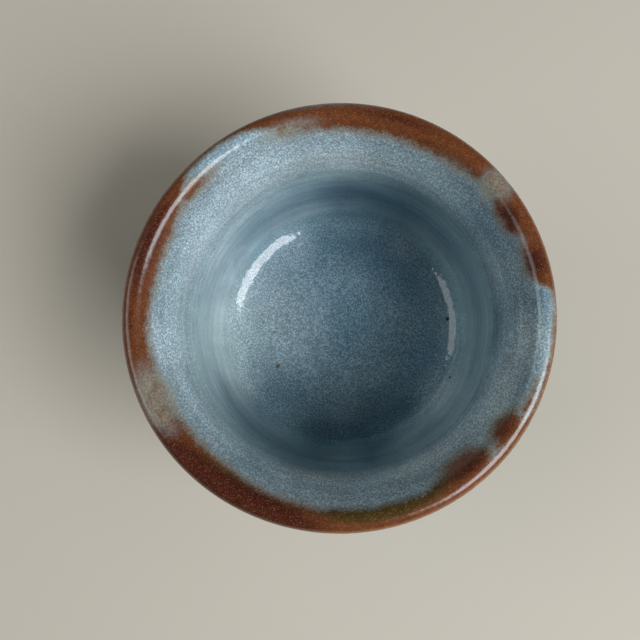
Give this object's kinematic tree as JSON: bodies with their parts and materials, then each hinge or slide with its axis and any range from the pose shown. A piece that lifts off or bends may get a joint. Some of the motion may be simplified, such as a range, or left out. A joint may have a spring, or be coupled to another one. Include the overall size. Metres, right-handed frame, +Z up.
{
  "type": "guinomi sake cup",
  "caption": "Small thrown stoneware sake cup with a flared lip, speckled blue-grey glaze inside and out, a rust-brown iron rim and a bare clay foot ring.",
  "frame": {"origin": "centre of the foot ring's resting face, on the cup's axis", "axes": "+Z up along the cup's axis from the foot to the lip; X and Y are level, and the cup is round about Z"},
  "size_m": [0.056, 0.056, 0.036],
  "materials": {
    "bare_stoneware": "matte, fired stoneware",
    "foot_stoneware": "matte, fired stoneware",
    "inner_glaze": "glossy, speckled blue-grey",
    "lip_glaze": "glossy, rust brown with blue-grey breaks",
    "outer_glaze": "glossy, speckled blue-grey"
  },
  "bodies": {
    "root": {"clay_body": "bare_stoneware", "foot_ring": "foot_stoneware", "inner_glaze": "inner_glaze", "lip_glaze": "lip_glaze", "outer_glaze": "outer_glaze"}
  },
  "joints": []
}
